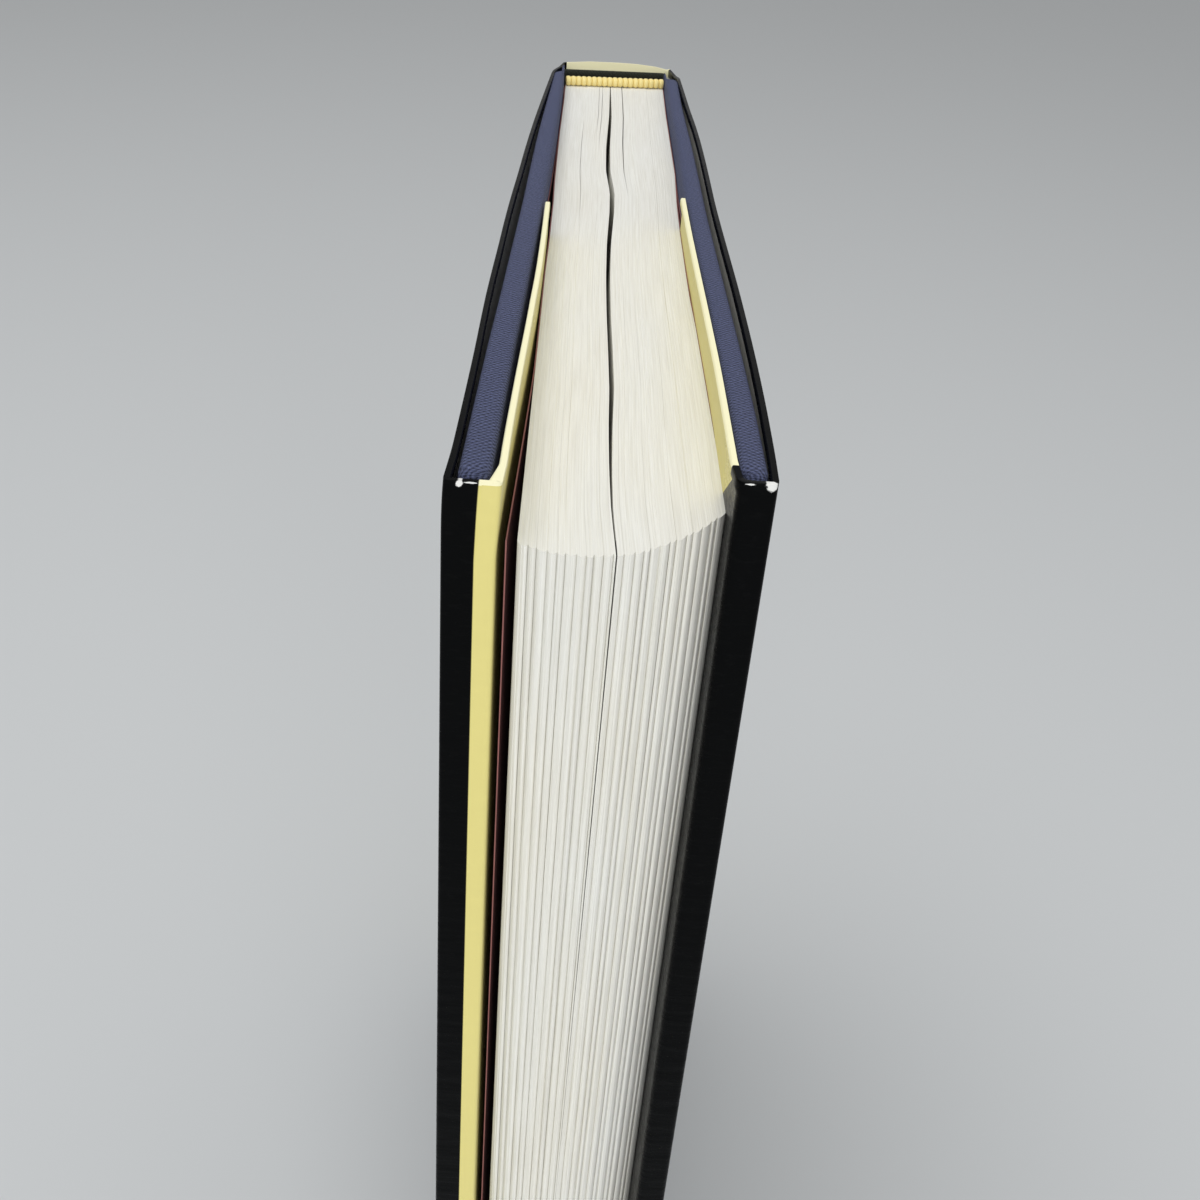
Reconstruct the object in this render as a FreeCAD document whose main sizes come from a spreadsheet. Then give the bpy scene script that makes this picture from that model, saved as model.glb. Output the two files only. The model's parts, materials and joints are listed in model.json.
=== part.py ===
"""Hardcover book in a dust jacket, standing closed on its tail edges.

Millimetres. +Z runs from tail to head, +Y from the fore-edge to the spine, and +X from the front
cover to the back cover. The origin is the foot of the spine: the middle of the cloth-covered
spine's tail edge, on the surface that the book stands on.

The covers are built in a frame of their own, on their hinge line: +Y of that frame points to the
spine, and X is the distance from the text block's side, counted outwards. "side" is -1 for the
front cover and +1 for the back cover.
"""
import FreeCAD, Part
import os

import Sketcher
from FreeCAD import Placement, Rotation, Vector

SIZES = {
    # text block
    "trim_width": 152.0,
    "trim_height": 229.0,
    "text_thickness": 17.0,
    "back_waist": 0.45,
    "signature_count": 23,
    "signature_bulge": 0.32,
    "fore_crown": 1.0,
    "fore_crown_offset": 3.5,
    "fore_recess": 7.25,
    "sag_angle": 1.1,
    "split_width": 0.8,
    "split_mouth": 0.14,
    "split_depth": 40.0,
    "split_offset": 1.0,
    "split_start": 9.0,
    # what is glued to the text block's spine
    "spine_layer": 0.25,
    "gauze_inset": 16.0,
    "lining_thickness": 0.3,
    "lining_inset": 2.0,
    "band_height": 1.4,
    "band_ridges": 19,
    "band_groove": 0.14,
    "tape_length": 11.0,
    # endpapers
    "paper_thickness": 0.12,
    "flyleaf_curl": 1.0,
    "flyleaf_curl_length": 38.0,
    # case
    "head_square": 2.6,
    "tail_square": 3.3,
    "board_thickness": 1.9,
    "board_width": 148.0,
    "cloth_thickness": 0.38,
    "turn_in": 15.0,
    "corner_radius": 1.05,
    "joint_width": 5.2,
    "hinge_setback": 3.5,
    "joint_gap": 0.15,
    "joint_inset": 1.0,
    "side_clearance": 0.02,
    "front_splay": 0.85,
    "back_splay": 0.12,
    "flange_width": 24.0,
    "flange_thickness": 0.2,
    "spine_slant": 2.7,
    "spine_width": 17.4,
    "spine_drop": 1.3,
    "inlay_thickness": 0.6,
    "spine_clearance": 0.4,
    # dust jacket
    "jacket_thickness": 0.22,
    "jacket_lift": 0.4,
    "jacket_clearance": 0.1,
    "jacket_joint_gap": 1.4,
    "rim_drop": 0.3,
    "fold_radius": 0.8,
    "fold_slack": 1.0,
    "front_fold_lift": 0.5,
    "front_bow": 1.0,
    "front_flap_lift": 0.45,
    "front_flap_width": 76.0,
    "back_fold_lift": 0.25,
    "back_bow": 0.5,
    "back_flap_lift": 0.05,
    "back_flap_width": 81.0,
}

# Lengths that follow from the driving ones, as spreadsheet expressions.
HALF_TEXT = "dims.text_thickness / 2"
CASE_HEIGHT = "(dims.trim_height + dims.head_square + dims.tail_square)"
SPINE_HEIGHT = f"({CASE_HEIGHT} - dims.spine_drop)"
SLANT = "(dims.spine_slant / dims.text_thickness)"
SPINE_STACK = "(dims.inlay_thickness + 2 * dims.cloth_thickness)"
SPINE_BULK = "(dims.spine_layer + dims.lining_thickness)"
HINGE_X = f"({HALF_TEXT} + dims.paper_thickness + dims.side_clearance)"
BOARD_IN = "(dims.paper_thickness + dims.cloth_thickness)"
BOARD_OUT = f"({BOARD_IN} + dims.board_thickness)"
COVER_OUT = f"({BOARD_OUT} + dims.cloth_thickness)"
COVER_DEPTH = "(dims.joint_width + dims.board_width + 2 * dims.cloth_thickness)"

doc = FreeCAD.newDocument("hardcover_book")
sheet = doc.addObject("Spreadsheet::Sheet", "dims")
nodes = []


def fill_sheet():
    for row, (name, value) in enumerate(SIZES.items(), start=1):
        sheet.set(f"A{row}", name)
        sheet.set(f"B{row}", str(value))
        sheet.setAlias(f"B{row}", name)
    doc.recompute()


def length(expression):
    """The value of a spreadsheet expression, in millimetres or as a plain number."""
    return float(sheet.evalExpression(expression))


# ---------------------------------------------------------------- construction helpers

def origin_plane(body, role):
    return next(item for item in body.Origin.OriginFeatures if item.Role == role)


def new_body(label):
    body = doc.addObject("PartDesign::Body", label)
    body.Label = label
    return body


def plan_sketch(body, name, corners, level="0"):
    """A closed outline of straight lines in plan, each corner bound to a pair of expressions."""
    sketch = body.newObject("Sketcher::SketchObject", f"{body.Label}_{name}")
    sketch.AttachmentSupport = [(origin_plane(body, "XY_Plane"), "")]
    sketch.MapMode = "FlatFace"
    sketch.setExpression("AttachmentOffset.Base.z", level)
    points = [Vector(length(x), length(y), 0) for x, y in corners]
    count = len(points)
    for k in range(count):
        sketch.addGeometry(Part.LineSegment(points[k], points[(k + 1) % count]))
    for k in range(count):
        sketch.addConstraint(Sketcher.Constraint("Coincident", k, 2, (k + 1) % count, 1))
    for k, corner in enumerate(corners):
        for kind, value, expression in zip(("DistanceX", "DistanceY"), points[k], corner):
            index = sketch.addConstraint(Sketcher.Constraint(kind, k, 1, value))
            sketch.setExpression(f"Constraints[{index}]", expression)
    return sketch


def pad(body, name, corners, height, level="0"):
    feature = body.newObject("PartDesign::Pad", f"{body.Label}_{name}_pad")
    feature.Profile = plan_sketch(body, name, corners, level)
    feature.setExpression("Length", height)
    doc.recompute()
    return feature


def pocket(body, name, corners, height, level):
    """Takes away the material above an outline, and makes sure that something was taken."""
    before = body.Shape.Volume
    feature = body.newObject("PartDesign::Pocket", f"{body.Label}_{name}_pocket")
    feature.Profile = plan_sketch(body, name, corners, level)
    feature.Reversed = True
    feature.setExpression("Length", height)
    doc.recompute()
    if body.Shape.Volume >= before:
        raise RuntimeError(f"{feature.Name} cuts nothing")
    return feature


def round_upright_edges(body, radius, is_rounded):
    """Rounds the body's upright edges at the places where is_rounded(x, y) is true."""
    base = body.Tip
    names = []
    for k, edge in enumerate(base.Shape.Edges, start=1):
        box = edge.BoundBox
        upright = box.ZLength > box.XLength + box.YLength
        if upright and is_rounded(box.Center.x, box.Center.y):
            names.append(f"Edge{k}")
    feature = body.newObject("PartDesign::Fillet", f"{body.Label}_fillet")
    feature.Base = (base, names)
    feature.setExpression("Radius", radius)
    doc.recompute()
    return feature


def rectangle(side, near, far, front, back):
    """Corners of a rectangle in a cover's frame: near and far are distances outwards."""
    x_near = f"{side} * ({near})"
    x_far = f"{side} * ({far})"
    if side < 0:
        x_near, x_far = x_far, x_near
    return [(x_near, front), (x_far, front), (x_far, back), (x_near, back)]


def prism(points, height, level=0.0):
    """An upright solid on a closed outline of straight lines."""
    outline = [Vector(x, y, level) for x, y in points]
    face = Part.Face(Part.makePolygon(outline + outline[:1]))
    return face.extrude(Vector(0, 0, height))


def ribbon(edges, thickness, height, level):
    """An upright sheet: the edges are one side of it in plan, and thickness lies to one side."""
    wire = Part.Wire([edge.toShape() for edge in edges])
    face = wire.makeOffset2D(thickness, fill=True, openResult=True)
    face.translate(Vector(0, 0, level))
    return face.extrude(Vector(0, 0, height))


def shaped(label, shape):
    """A sub-part whose shape is made by Part's own functions."""
    feature = doc.addObject("Part::Feature", label)
    feature.Label = label
    feature.Shape = shape
    return feature


def add_node(item):
    nodes.append(item)
    return item


# ---------------------------------------------------------------- placements

def bind_placement(item, base, axis, angle):
    """Places a sub-part by expressions: three for its base, and one for its angle in degrees."""
    foot = Vector(*[length(value) for value in base])
    item.Placement = Placement(foot, Rotation(axis, length(angle)))
    for name, value in zip("xyz", base):
        item.setExpression(f"Placement.Base.{name}", value)
    item.setExpression("Placement.Rotation.Angle", angle)
    return item


def place_on_text(item):
    """Seats an item made in the text block's frame, whose origin is the foot of its spine.

    The text block has sagged in its case: it turns about the foot of its spine, so that its
    fore-edge comes down and the head of its spine moves away from the case.
    """
    foot_y = f"-{SPINE_STACK} / 2 - dims.spine_clearance - {SPINE_BULK}"
    return bind_placement(item, ("0", foot_y, "dims.tail_square"), Vector(1, 0, 0), "dims.sag_angle")


def hinge_base(side):
    """Where a cover's hinge line stands: in the joint, beside the text block."""
    return (f"{side} * {HINGE_X}", f"{side} * {HINGE_X} * {SLANT} - dims.hinge_setback", "0")


def hinge_point(side):
    return Vector(*[length(value) for value in hinge_base(side)])


def place_on_hinge(item, side, splay):
    """Seats an item made in a cover's frame: the cover stands open by its splay."""
    return bind_placement(item, hinge_base(side), Vector(0, 0, side), splay)


# ---------------------------------------------------------------- text block

def spine_line(x):
    """The slanted line of the text block's spine, in plan."""
    return x * length(SLANT)


def fore_edge_line(x):
    """The fore-edge in plan: a crown towards the front cover, falling back to the back cover."""
    crown_x = -length("dims.fore_crown_offset")
    reach = length(HALF_TEXT) - crown_x
    fall = length("dims.fore_crown + dims.fore_recess") * ((x - crown_x) / reach) ** 2
    return spine_line(-length(HALF_TEXT)) - length("dims.trim_width + dims.fore_crown") + fall


def back_side():
    """The back side in plan, drawn in at half its depth, from the fore-edge to the spine."""
    half = length(HALF_TEXT)
    fore_edge = Vector(half, fore_edge_line(half), 0)
    spine = Vector(half, spine_line(half), 0)
    waist = Vector(half - length("dims.back_waist"), (fore_edge.y + spine.y) / 2, 0)
    return Part.Arc(fore_edge, waist, spine)


def text_outline():
    """Spine and sides straight, fore-edge scalloped by the folded signatures."""
    half = length(HALF_TEXT)
    count = int(length("dims.signature_count"))
    pitch = 2 * half / count
    bulge = length("dims.signature_bulge")
    spine_front = Vector(-half, spine_line(-half), 0)
    spine_back = Vector(half, spine_line(half), 0)
    edges = []
    here = Vector(-half, fore_edge_line(-half), 0)
    edges.append(Part.LineSegment(spine_front, here))
    for k in range(count):
        x_end = -half + (k + 1) * pitch
        x_mid = x_end - pitch / 2
        there = Vector(x_end, fore_edge_line(x_end), 0)
        top = Vector(x_mid, fore_edge_line(x_mid) - bulge, 0)
        edges.append(Part.Arc(here, top, there))
        here = there
    edges.append(back_side())
    edges.append(Part.LineSegment(spine_back, spine_front))
    return Part.Wire([edge.toShape() for edge in edges])


def split_cutter():
    """The thin gap where the leaves have parted at the head, widest at half the depth."""
    x = -length("dims.split_offset")
    half_width = length("dims.split_width") / 2
    half_mouth = length("dims.split_mouth") / 2
    near_spine = spine_line(x) - length("dims.split_start")
    past_fore_edge = fore_edge_line(x) - length("dims.signature_bulge") - half_width
    depth = near_spine - past_fore_edge
    middle = (near_spine + past_fore_edge) / 2
    widens_at = middle - 0.3 * depth
    sways_at = middle + 0.2 * depth
    sway_x = x - half_width / 2
    sway_width = 0.7 * half_width
    walls = []
    for sign in (-1, 1):
        walls.append([
            Vector(x + sign * half_mouth, past_fore_edge, 0),
            Vector(x + sign * half_mouth, widens_at, 0),
            Vector(x + sign * half_width, middle, 0),
            Vector(sway_x + sign * sway_width, sways_at, 0),
            Vector(x, near_spine, 0),
        ])
    curves = []
    for wall in walls:
        curve = Part.BSplineCurve()
        curve.interpolate(wall)
        curves.append(curve.toShape())
    mouth = Part.LineSegment(walls[0][0], walls[1][0]).toShape()
    face = Part.Face(Part.Wire(Part.sortEdges([curves[0], curves[1], mouth])[0]))
    split_depth = length("dims.split_depth")
    face.translate(Vector(0, 0, length("dims.trim_height") - split_depth))
    return face.extrude(Vector(0, 0, 2 * split_depth))


def make_text_block():
    height = length("dims.trim_height")
    block = Part.Face(text_outline()).extrude(Vector(0, 0, height))
    return add_node(place_on_text(shaped("text_block", block.cut(split_cutter()))))


def spine_strip(start, thickness):
    """Corners of a strip along the text block's spine, start and thickness counted outwards."""
    front = f"-({HALF_TEXT})"
    back = f"{HALF_TEXT}"
    return [
        (front, f"{front} * {SLANT} + {start}"),
        (back, f"{back} * {SLANT} + {start}"),
        (back, f"{back} * {SLANT} + {start} + {thickness}"),
        (front, f"{front} * {SLANT} + {start} + {thickness}"),
    ]


def make_spine_gauze():
    body = new_body("spine_gauze")
    pad(body, "strip", spine_strip("0", "dims.spine_layer"),
        "dims.trim_height - 2 * dims.gauze_inset", "dims.gauze_inset")
    return add_node(place_on_text(body))


def make_spine_lining():
    body = new_body("spine_lining")
    pad(body, "strip", spine_strip("dims.spine_layer", "dims.lining_thickness"),
        "dims.trim_height - 2 * dims.lining_inset", "dims.lining_inset")
    return add_node(place_on_text(body))


def band_bead(radius):
    """A beaded cord along the text block's spine, its axis just inside the spine's line."""
    half = length(HALF_TEXT)
    count = int(length("dims.band_ridges"))
    valley = radius - length("dims.band_groove")
    start = Vector(-half, spine_line(-half), 0)
    end = Vector(half, spine_line(half), 0)
    along = (end - start).normalize()
    across = Vector(-along.y, along.x, 0)
    pitch = (end - start).Length / count
    edges = [Part.LineSegment(start, start - across * valley)]
    for k in range(count):
        foot = start + along * (pitch * k) - across * valley
        top = start + along * (pitch * (k + 0.5)) - across * radius
        edges.append(Part.Arc(foot, top, foot + along * pitch))
    edges.append(Part.LineSegment(end - across * valley, end))
    edges.append(Part.LineSegment(end, start))
    profile = Part.Face(Part.Wire([edge.toShape() for edge in edges]))
    bead = profile.revolve(start, along, 360)
    bead.translate(-across * valley)
    return bead


def make_band(label, edge_level, outwards):
    """An endband at the head (outwards 1) or the tail (-1): a beaded cord on the leaves' edge,
    and the tape that holds it to the spine."""
    radius = length("dims.band_height") / 2
    bead = band_bead(radius)
    bead.translate(Vector(0, 0, edge_level + outwards * radius))
    tape_length = length("dims.tape_length")
    strip = [(length(x), length(y)) for x, y in spine_strip("0", "dims.spine_layer")]
    foot = [(length(x), length(y)) for x, y in spine_strip(f"-{radius}", f"({radius} + dims.spine_layer)")]
    tape_start = edge_level - tape_length if outwards > 0 else edge_level - radius
    foot_start = edge_level if outwards > 0 else edge_level - radius
    tape = prism(strip, tape_length + radius, tape_start)
    shape = bead.fuse([tape, prism(foot, radius, foot_start)]).removeSplitter()
    return add_node(place_on_text(shaped(label, shape)))


def make_flyleaf(name, side, leaf_edges, offset):
    """A free leaf, and the strip of the same sheet that lines the joint beside it.

    The leaf keeps to the text block; the strip stands upright with the case, as far as the
    cover's spine edge, where the pastedown takes over.
    """
    leaf = ribbon(leaf_edges, offset, length("dims.trim_height"), 0)
    free_leaf = place_on_text(shaped(f"{name}_free_leaf", leaf))
    joint_lining = new_body(f"{name}_joint_lining")
    hinge_y = hinge_base(side)[1]
    inner = f"{side} * ({HALF_TEXT} + dims.side_clearance)"
    outer = f"{side} * ({HINGE_X} + dims.paper_thickness)"
    near, far = (inner, outer) if side > 0 else (outer, inner)
    front_end = f"{hinge_y} - dims.joint_width + dims.joint_gap"
    corners = [(near, front_end), (far, front_end), (far, hinge_y), (near, hinge_y)]
    inset = "(dims.head_square + dims.joint_inset)"
    pad(joint_lining, "plan", corners, f"{CASE_HEIGHT} - 2 * {inset}", inset)
    sheet_of_paper = doc.addObject("Part::Fuse", f"{name}_flyleaf")
    sheet_of_paper.Label = f"{name}_flyleaf"
    sheet_of_paper.Base = free_leaf
    sheet_of_paper.Tool = joint_lining
    return add_node(sheet_of_paper)


def front_leaf_edges():
    """The front leaf in plan: flat on the pages, its fore-edge curled away from them."""
    x = -length(HALF_TEXT)
    curl = length("dims.flyleaf_curl")
    curl_length = length("dims.flyleaf_curl_length")
    gutter = Vector(x, spine_line(x), 0)
    fore_edge = Vector(x - curl, fore_edge_line(x), 0)
    bend = Vector(x, fore_edge.y + curl_length, 0)
    halfway = Vector(x - curl / 4, fore_edge.y + curl_length / 2, 0)
    return [Part.LineSegment(gutter, bend), Part.Arc(bend, halfway, fore_edge)]


# ---------------------------------------------------------------- covers

def cover_strip(inner, outer, front, back, side):
    return rectangle(side, inner, outer, f"-({front})", f"-({back})")


def make_board(name, side, splay):
    body = new_body(f"{name}_board")
    near = "dims.joint_width + dims.cloth_thickness"
    corners = cover_strip(BOARD_IN, BOARD_OUT, f"{near} + dims.board_width", near, side)
    pad(body, "plan", corners, f"{CASE_HEIGHT} - 2 * dims.cloth_thickness", "dims.cloth_thickness")
    middle = -length(COVER_DEPTH) / 2
    round_upright_edges(body, "dims.corner_radius - dims.cloth_thickness", lambda x, y: y < middle)
    return add_node(place_on_hinge(body, side, splay))


def make_cloth(name, side, splay, board):
    """The cover's cloth: the outer face, the wrapped edges and the turn-ins."""
    blank = new_body(f"{name}_cloth_blank")
    corners = cover_strip("dims.paper_thickness", COVER_OUT, COVER_DEPTH, "dims.joint_width", side)
    pad(blank, "plan", corners, CASE_HEIGHT)
    middle = -length(COVER_DEPTH) / 2
    round_upright_edges(blank, "dims.corner_radius", lambda x, y: y < middle)
    window = cover_strip("dims.paper_thickness / 2", BOARD_IN, f"{COVER_DEPTH} - dims.turn_in",
                         "dims.joint_width + dims.cloth_thickness", side)
    pocket(blank, "window", window, f"{CASE_HEIGHT} - 2 * dims.turn_in", "dims.turn_in")
    place_on_hinge(blank, side, splay)
    cloth = doc.addObject("Part::Cut", f"{name}_cloth")
    cloth.Label = f"{name}_cloth"
    cloth.Base = blank
    cloth.Tool = board
    return add_node(cloth)


def make_pastedown(name, side, splay):
    """The half of the endpaper glued inside the cover: it dips from the turn-ins to the board."""
    body = new_body(f"{name}_pastedown")
    margin = "dims.head_square"
    front = f"{COVER_DEPTH} - {margin}"
    sheet_height = f"{CASE_HEIGHT} - 2 * {margin}"
    plate = cover_strip("0", "dims.paper_thickness", front, "dims.joint_width", side)
    pad(body, "sheet", plate, sheet_height, margin)
    window_front = f"{COVER_DEPTH} - dims.turn_in"
    window_back = "dims.joint_width + dims.cloth_thickness + dims.flange_width"
    window_height = f"{CASE_HEIGHT} - 2 * dims.turn_in"
    dip = cover_strip("0", BOARD_IN, window_front, window_back, side)
    pad(body, "dip", dip, window_height, "dims.turn_in")
    wall = "dims.paper_thickness"
    hollow = cover_strip("0", "dims.cloth_thickness", f"{window_front} - {wall}",
                         f"{window_back} + {wall}", side)
    pocket(body, "hollow", hollow, f"{window_height} - 2 * {wall}", f"dims.turn_in + {wall}")
    return add_node(place_on_hinge(body, side, splay))


def make_flange(name, side, splay):
    """The gauze's flange, between the board and the pastedown."""
    body = new_body(f"{name}_gauze_flange")
    near = "dims.joint_width + dims.cloth_thickness"
    corners = cover_strip(f"{BOARD_IN} - dims.flange_thickness", BOARD_IN,
                          f"{near} + dims.flange_width", near, side)
    pad(body, "plan", corners, f"{CASE_HEIGHT} - 2 * dims.gauze_inset - 2 * dims.head_square",
        "dims.gauze_inset + dims.head_square")
    return add_node(place_on_hinge(body, side, splay))


def make_jacket(name, side, splay, height):
    """The jacket's panel, its fold round the board's fore-edge and its flap inside the cover."""
    paper = length("dims.jacket_thickness")
    radius = length("dims.fold_radius")
    depth = length(COVER_DEPTH)
    out = length(COVER_OUT)
    near = out + length("dims.jacket_clearance") + paper
    fold_out = out + length(f"dims.{name}_fold_lift") + paper
    bow_out = out + length(f"dims.{name}_bow") + paper
    flap_in = -length(f"dims.{name}_flap_lift") - paper
    flap_end = -length("dims.side_clearance") / 2 - paper
    fold_y = -(depth + length("dims.fold_slack") + paper)
    start_y = -length("dims.joint_width")
    flap_y = -(depth - length(f"dims.{name}_flap_width"))
    bevel = radius * (1 - 0.5 ** 0.5)

    def at(x, y):
        return Vector(side * x, y, 0)

    panel_end = at(fold_out, fold_y + radius)
    fold_start = at(fold_out - radius, fold_y)
    fold_end = at(flap_in + radius, fold_y)
    flap_start = at(flap_in, fold_y + radius)
    edges = [
        Part.Arc(at(near, start_y), at(bow_out, (start_y + fold_y) / 2), panel_end),
        Part.Arc(panel_end, at(fold_out - bevel, fold_y + bevel), fold_start),
        Part.LineSegment(fold_start, fold_end),
        Part.Arc(fold_end, at(flap_in + bevel, fold_y + bevel), flap_start),
        Part.LineSegment(flap_start, at(flap_end, flap_y)),
    ]
    shape = ribbon(edges, paper, height, length("dims.jacket_lift"))
    return add_node(place_on_hinge(shaped(f"{name}_jacket", shape), side, splay))


def make_cover(name, side):
    splay = f"dims.{name}_splay"
    board = make_board(name, side, splay)
    make_cloth(name, side, splay, board)
    make_pastedown(name, side, splay)
    make_flange(name, side, splay)
    make_jacket(name, side, splay, length(f"{CASE_HEIGHT} - dims.jacket_lift"))


# ---------------------------------------------------------------- spine of the case

def spine_wall(inner, outer, half_width):
    """Corners of a wall along the case's spine: inner and outer are offsets across it."""
    front = f"-({half_width})"
    back = f"({half_width})"
    return [
        (front, f"{front} * {SLANT} + {inner}"),
        (back, f"{back} * {SLANT} + {inner}"),
        (back, f"{back} * {SLANT} + {outer}"),
        (front, f"{front} * {SLANT} + {outer}"),
    ]


def make_spine_inlay():
    body = new_body("spine_inlay")
    wall = spine_wall("-dims.inlay_thickness / 2", "dims.inlay_thickness / 2", "dims.spine_width / 2")
    pad(body, "plan", wall, f"{SPINE_HEIGHT} - 2 * dims.cloth_thickness", "dims.cloth_thickness")
    return add_node(body)


def joint_strip(side):
    """The cloth from the spine's edge through the joint, as far as the cover's spine edge."""
    hinge = hinge_point(side)
    cloth = length("dims.cloth_thickness")
    inner_x = hinge.x + side * length("dims.paper_thickness")
    outer_x = inner_x + side * cloth
    front_end = hinge.y - length("dims.joint_width - dims.joint_gap")
    corner_x = side * (length("dims.spine_width") / 2 + cloth)
    inset_x = corner_x - side * cloth
    half_stack = length(SPINE_STACK) / 2
    return [
        (inner_x, front_end),
        (outer_x, front_end),
        (outer_x, hinge.y),
        (corner_x, corner_x * length(SLANT) + half_stack - cloth),
        (corner_x, corner_x * length(SLANT) + half_stack),
        (inset_x, inset_x * length(SLANT) + half_stack),
        (inset_x, inset_x * length(SLANT) - half_stack),
        (inner_x, hinge.y),
    ]


def make_spine_cloth(inlay):
    """The case's cloth over the spine, turned in at head and tail, with both joints."""
    blank = new_body("spine_cloth_blank")
    half_width = "dims.spine_width / 2 + dims.cloth_thickness"
    wall = spine_wall(f"-{SPINE_STACK} / 2", f"{SPINE_STACK} / 2", half_width)
    pad(blank, "plan", wall, SPINE_HEIGHT)
    window = spine_wall(f"-{SPINE_STACK}", "-dims.inlay_thickness / 2", "dims.spine_width / 2")
    pocket(blank, "window", window, f"{SPINE_HEIGHT} - 2 * dims.turn_in", "dims.turn_in")
    strips = []
    for side in (-1, 1):
        strip = shaped(f"spine_joint_{'front' if side < 0 else 'back'}",
                       prism(joint_strip(side), length(CASE_HEIGHT)))
        strips.append(strip)
    joined = doc.addObject("Part::MultiFuse", "spine_cloth_joined")
    joined.Shapes = [blank] + strips
    cloth = doc.addObject("Part::Cut", "spine_cloth")
    cloth.Label = "spine_cloth"
    cloth.Base = joined
    cloth.Tool = inlay
    return add_node(cloth)


def make_jacket_spine():
    """The jacket's spine panel, round both edges of the case's spine to the joints."""
    paper = length("dims.jacket_thickness")
    slack = length("dims.jacket_clearance")
    half_stack = length(SPINE_STACK) / 2
    corner_x = length("dims.spine_width") / 2 + length("dims.cloth_thickness") + slack + paper
    ends = {}
    for side in (-1, 1):
        hinge = hinge_point(side)
        x = hinge.x + side * (length(COVER_OUT) + slack + paper)
        ends[side] = Vector(x, hinge.y - length("dims.joint_width - dims.jacket_joint_gap"), 0)

    def corner(side):
        return Vector(side * corner_x, side * corner_x * length(SLANT) + half_stack + slack + paper, 0)

    points = [ends[-1], corner(-1), corner(1), ends[1]]
    edges = [Part.LineSegment(a, b) for a, b in zip(points, points[1:])]
    height = length(f"{CASE_HEIGHT} - dims.jacket_lift - dims.rim_drop")
    return add_node(shaped("spine_jacket", ribbon(edges, -paper, height, length("dims.jacket_lift"))))


# ---------------------------------------------------------------- build, check and write

def check_document():
    doc.recompute()
    for item in doc.Objects:
        if "Invalid" in item.State or "Error" in item.State:
            raise RuntimeError(f"{item.Label} failed: {item.State}")
    for node in nodes:
        if node.Shape.isNull() or not node.Shape.isValid():
            raise RuntimeError(f"{node.Label} has no valid shape")


def write_parts():
    os.makedirs("parts", exist_ok=True)
    for node in nodes:
        node.Shape.exportStep(os.path.join("parts", f"{node.Label}.step"))


fill_sheet()
make_text_block()
make_spine_gauze()
make_spine_lining()
make_band("head_band", length("dims.trim_height"), 1)
make_band("tail_band", 0, -1)
make_flyleaf("front", -1, front_leaf_edges(), length("dims.paper_thickness"))
make_flyleaf("back", 1, [back_side()], length("dims.paper_thickness"))
make_cover("front", -1)
make_cover("back", 1)
make_spine_cloth(make_spine_inlay())
make_jacket_spine()
check_document()
write_parts()
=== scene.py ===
"""Looks of the hardcover book in its dust jacket: leaves, endbands, endpapers, cloth case, jacket.

Shapes are worked out in millimetres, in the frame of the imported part: +Z from tail to head, +Y
from the fore-edge to the spine, +X from the front cover to the back cover. Each mesh is made in
metres. "side" is -1 for the front cover and +1 for the back cover. A cover's own frame stands on
its hinge line: X counts outwards from the text block, and Y towards the spine.
"""
import json
import math

import bmesh
import bpy
import numpy as np
from mathutils import Matrix, Vector


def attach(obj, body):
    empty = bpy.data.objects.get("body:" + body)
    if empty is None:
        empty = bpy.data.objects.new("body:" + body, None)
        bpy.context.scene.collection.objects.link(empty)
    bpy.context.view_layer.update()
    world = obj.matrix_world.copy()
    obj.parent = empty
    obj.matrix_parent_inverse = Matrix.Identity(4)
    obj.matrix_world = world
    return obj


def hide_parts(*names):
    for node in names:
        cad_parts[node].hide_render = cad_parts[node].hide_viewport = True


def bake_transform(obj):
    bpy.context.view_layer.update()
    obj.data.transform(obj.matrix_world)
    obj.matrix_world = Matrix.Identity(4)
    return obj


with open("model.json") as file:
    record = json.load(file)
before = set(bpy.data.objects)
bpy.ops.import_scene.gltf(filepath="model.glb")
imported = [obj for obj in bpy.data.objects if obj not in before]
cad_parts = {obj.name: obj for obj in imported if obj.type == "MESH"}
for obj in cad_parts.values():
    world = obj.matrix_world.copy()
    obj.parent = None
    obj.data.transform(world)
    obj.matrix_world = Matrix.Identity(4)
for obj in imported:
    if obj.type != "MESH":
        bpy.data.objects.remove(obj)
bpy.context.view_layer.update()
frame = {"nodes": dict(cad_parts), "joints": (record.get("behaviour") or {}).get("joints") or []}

MM = 0.001
SIDES = {"front": -1, "back": 1}

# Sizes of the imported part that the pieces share, in millimetres.
HALF_TEXT = 8.5
TRIM_HEIGHT = 229.0
TRIM_WIDTH = 152.0
SLANT = 2.7 / 17.0
SAG = math.radians(1.1)
SQUARE = 2.6
TAIL_SQUARE = 3.3
CASE_HEIGHT = TRIM_HEIGHT + SQUARE + TAIL_SQUARE
PAPER = 0.12
CLOTH = 0.38
BOARD_OUT = 2.78
JOINT = 5.2
COVER_DEPTH = 153.96
SPINE_HALF = 9.08
SPINE_STACK = 0.68  # half of the spine's thickness: card, and cloth on both sides
SPINE_DROP = 1.3  # how far the cloth's head lies below the covers' head at the spine
JOINT_DROP = 1.0  # and beside the back joint
TURN_IN = 15.0
GAUZE_INSET = 16.0
FLANGE_WIDTH = 24.0
PASTEDOWN_DROP = 4.0  # how far the pastedowns' head lies below the covers' head
JACKET_PAPER = 0.22
JACKET_LIFT = 0.4  # how far the jacket's tail stands above the case's tail
JACKET_SLACK = 0.1
HEM = 1.4  # width of the jacket's doubled hems
TEXT_FOOT = -1.63  # where the foot of the text block's spine stands
SPLAY = {-1: math.radians(-0.85), 1: math.radians(0.12)}
SIGNATURES = 23
SIGNATURE_LEAVES = 8
BAND_BEADS = 19
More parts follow.
